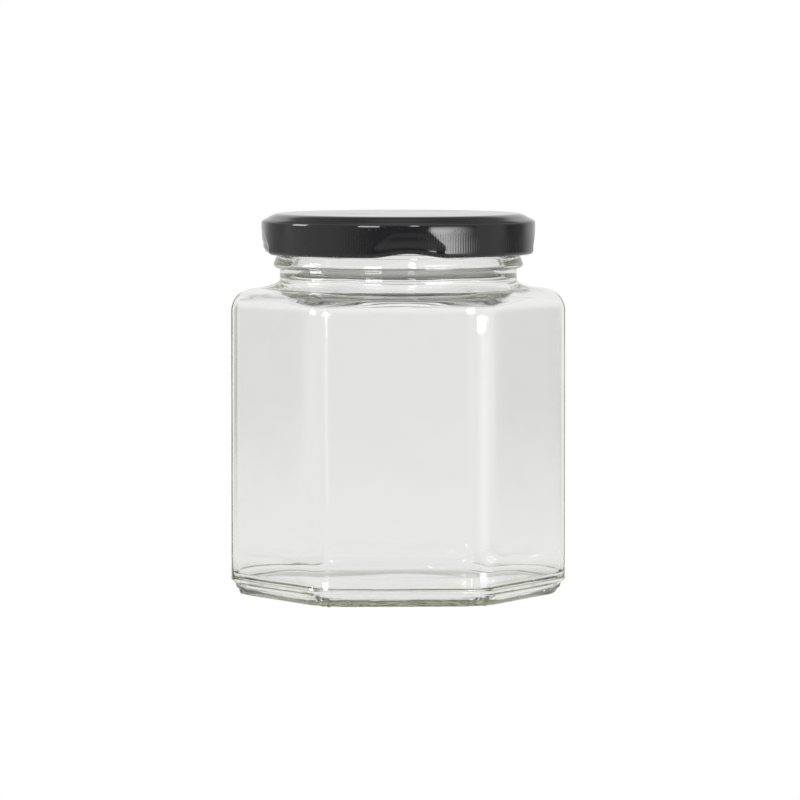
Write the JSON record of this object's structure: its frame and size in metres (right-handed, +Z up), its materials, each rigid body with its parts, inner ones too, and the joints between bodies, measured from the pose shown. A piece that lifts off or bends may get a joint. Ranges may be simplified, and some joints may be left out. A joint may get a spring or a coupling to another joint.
{
  "type": "hexagonal glass jar",
  "caption": "Empty clear glass jar with a six-sided body, round corners and shoulder, a short round neck and a black twist-off metal cap.",
  "frame": {"origin": "on the jar's axis, at the height of the surface that it stands on, the middle of the bottom of its box", "axes": "+Z up along the jar's axis; a flat of the body faces -Y, the front in the picture, and two of its corners point along +X and -X"},
  "size_m": [0.081, 0.0722, 0.0921],
  "materials": {
    "clear_glass": "clear pressed and blown glass, polished by the mould, with a faint warm green tint where it is thick",
    "black_lacquer": "gloss black lacquer on tinplate"
  },
  "bodies": {
    "root": {"jar_glass": "clear_glass", "cap": "black_lacquer"}
  },
  "joints": []
}
